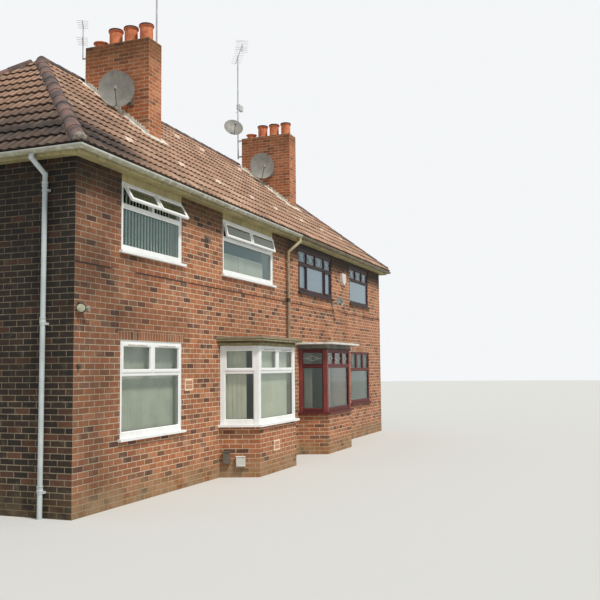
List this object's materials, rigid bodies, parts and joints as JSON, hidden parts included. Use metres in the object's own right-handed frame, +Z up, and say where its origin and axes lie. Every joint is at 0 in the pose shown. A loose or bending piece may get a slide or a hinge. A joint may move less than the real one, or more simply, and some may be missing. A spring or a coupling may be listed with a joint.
{
  "type": "terraced house row",
  "caption": "Short row of brick houses under one hipped tile roof, with canted bay windows, tall chimney stacks with pots, gutters, dishes and aerials.",
  "frame": {"origin": "on the ground under the middle of the block, on the underside of the ground slab", "axes": "+X along the front from the left end to the right end, +Y from the front to the back, +Z up; the front faces -Y"},
  "size_m": [15.463, 7.4928, 10.8573],
  "materials": {
    "brick_front": "weathered orange-red brick, pale joints",
    "brick_end": "dark brown brick, pale joints",
    "brick_stack": "orange-red brick with sooty tops",
    "concrete": "plain concrete",
    "boards": "bare floor boards",
    "roof_tiles": "weathered pinkish-brown roof tiles",
    "ridge_tiles": "grey-brown half-round tiles in mortar",
    "painted_boards": "olive-cream paint, weathered",
    "white_plastic": "white, a little dirty",
    "brown_plastic": "dark brown",
    "black_plastic": "black",
    "painted_iron": "olive-buff paint on iron",
    "lead": "dull grey-white sheet lead",
    "terracotta": "orange fired clay, sooty rims",
    "mahogany": "red-brown stained frames",
    "felt_roof": "mineral felt over cream boards",
    "dish_metal": "matt warm grey paint",
    "aerial_metal": "plain aluminium",
    "meter_plastic": "grey and white boxes",
    "glass": "clear glazing units"
  },
  "bodies": {
    "root": {"ground_floor": "concrete", "first_floor": "boards", "front_wall_lower_left": "brick_front", "front_wall_lower_right": "brick_front", "front_wall_upper": "brick_front", "back_wall_lower": "brick_front", "back_wall_upper": "brick_front", "left_end_wall": "brick_end", "right_end_wall": "brick_end", "roof_slope_front": "roof_tiles", "roof_slope_back": "roof_tiles", "roof_hip_left": "roof_tiles", "roof_hip_right": "roof_tiles", "ridge_tiles": "ridge_tiles", "hip_tiles": "ridge_tiles", "soffit_boards": "painted_boards", "fascia_boards": "painted_boards", "gutter_white": "white_plastic", "gutter_brown": "brown_plastic", "downpipe_white": "white_plastic", "downpipes_painted": "painted_iron", "chimney_left": "brick_stack", "chimney_right": "brick_stack", "chimney_flashings": "lead", "chimney_pots": "terracotta", "windows_white": "white_plastic", "open_vents": "white_plastic", "windows_mahogany": "mahogany", "bay_left_base": "brick_front", "bay_left_window": "white_plastic", "bay_left_roof": "felt_roof", "bay_right_base": "brick_front", "bay_right_window": "mahogany", "bay_right_roof": "felt_roof", "windows_back": "white_plastic", "back_doors": "white_plastic", "glass_upper": "glass", "glass_lower": "glass", "glass_back": "glass", "satellite_dishes": "dish_metal", "aerial_left": "aerial_metal", "aerial_right": "aerial_metal", "alarm_box": "white_plastic", "wall_lights": "black_plastic", "meter_boxes": "meter_plastic"}
  },
  "joints": []
}
